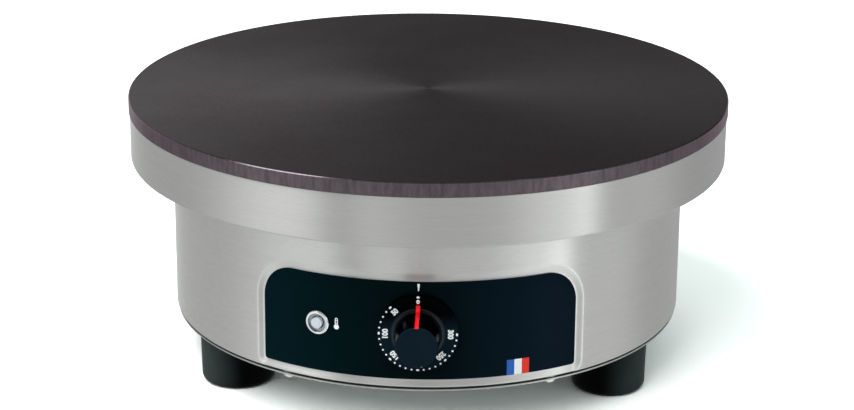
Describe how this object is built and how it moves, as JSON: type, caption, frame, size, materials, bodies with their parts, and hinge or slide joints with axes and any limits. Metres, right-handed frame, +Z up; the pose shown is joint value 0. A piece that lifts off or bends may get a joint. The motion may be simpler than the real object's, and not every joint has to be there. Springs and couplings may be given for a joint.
{
  "type": "electric crepe maker",
  "caption": "Round electric crepe griddle: a flat cast-iron plate on a brushed-steel collar and a narrower body, with a turning temperature knob and a signal lamp on its panel.",
  "frame": {"origin": "on the surface the appliance stands on, under the griddle plate's axis", "axes": "+Z up along the griddle plate's axis, the control panel and the knob face -Y, +X to the right as seen from the front"},
  "size_m": [0.3999, 0.4, 0.182],
  "materials": {
    "cast_iron": "lathe-faced cast iron, seasoned dark grey, satin",
    "brushed_stainless": "satin, brushed around the body",
    "bottom_steel": "satin zinc-plated sheet",
    "zinc_steel": "satin zinc plate",
    "heater_sheath": "matte stainless sheath",
    "foot_rubber": "matte black",
    "panel_gloss": "gloss dark blue-black overlay",
    "knob_plastic": "semi-gloss blue-black moulded plastic",
    "pointer_red": "satin red moulded plastic",
    "bezel_chrome": "polished",
    "lens_clear": "polished clear lens",
    "lamp_plastic": "matte black",
    "terminal_brass": "satin brass",
    "bulb_copper": "satin copper",
    "seal_ceramic": "matte steatite",
    "housing_phenolic": "matte brown phenolic",
    "mineral_board": "matte mineral-fibre board",
    "gland_plastic": "matte black polyamide",
    "gland_rubber": "matte black",
    "wire_brown": "satin insulation",
    "wire_glass_sleeve": "matte braided glass sleeve",
    "wire_grey": "satin insulation",
    "wire_green_yellow": "satin insulation"
  },
  "bodies": {
    "base": {"griddle_plate": "cast_iron", "collar_band": "brushed_stainless", "body_shell": "brushed_stainless", "bottom_plate": "bottom_steel", "bottom_screws": "zinc_steel", "foot_front_left": "foot_rubber", "foot_front_right": "foot_rubber", "foot_rear": "foot_rubber", "foot_bolts": "zinc_steel", "foot_nuts": "zinc_steel", "control_panel": "panel_gloss", "thermostat_frame": "zinc_steel", "thermostat_housing": "housing_phenolic", "thermostat_terminals": "terminal_brass", "thermostat_spacers": "zinc_steel", "thermostat_screws": "zinc_steel", "thermostat_capillary": "bulb_copper", "sensing_bulb": "bulb_copper", "bulb_clip": "zinc_steel", "bulb_clip_screw": "zinc_steel", "heating_element_outer": "heater_sheath", "heating_element_inner": "heater_sheath", "element_end_seals": "seal_ceramic", "element_pins": "terminal_brass", "clamp_bars": "zinc_steel", "clamp_studs": "zinc_steel", "clamp_nuts": "zinc_steel", "insulation_disc": "mineral_board", "heat_shield": "zinc_steel", "shield_spacers": "zinc_steel", "plate_studs": "zinc_steel", "plate_sleeves": "seal_ceramic", "stud_washers": "zinc_steel", "stud_nuts": "zinc_steel", "frame_rivets": "zinc_steel", "lamp_bezel": "bezel_chrome", "lamp_lens": "lens_clear", "lamp_body": "lamp_plastic", "lamp_tags": "terminal_brass", "lamp_nut": "zinc_steel", "gland_body": "gland_plastic", "gland_nut": "gland_plastic", "gland_seal": "gland_rubber", "gland_locknut": "gland_plastic", "terminal_block": "seal_ceramic", "terminal_inserts": "terminal_brass", "terminal_screws": "zinc_steel", "block_screws": "zinc_steel", "block_nuts": "zinc_steel", "earth_stud": "zinc_steel", "earth_nuts": "zinc_steel", "supply_wires": "wire_brown", "element_leads": "wire_glass_sleeve", "lamp_leads": "wire_grey", "earth_wire": "wire_green_yellow"},
    "knob": {"control_knob": "knob_plastic", "knob_pointer": "pointer_red", "thermostat_shaft": "zinc_steel"}
  },
  "joints": [
    {"name": "knob_turn", "type": "hinge", "parent": "base", "child": "knob", "pos_m": [0, -0.17, 0.0751], "axis": [0, 1, 0], "range_deg": [0, 270]}
  ]
}
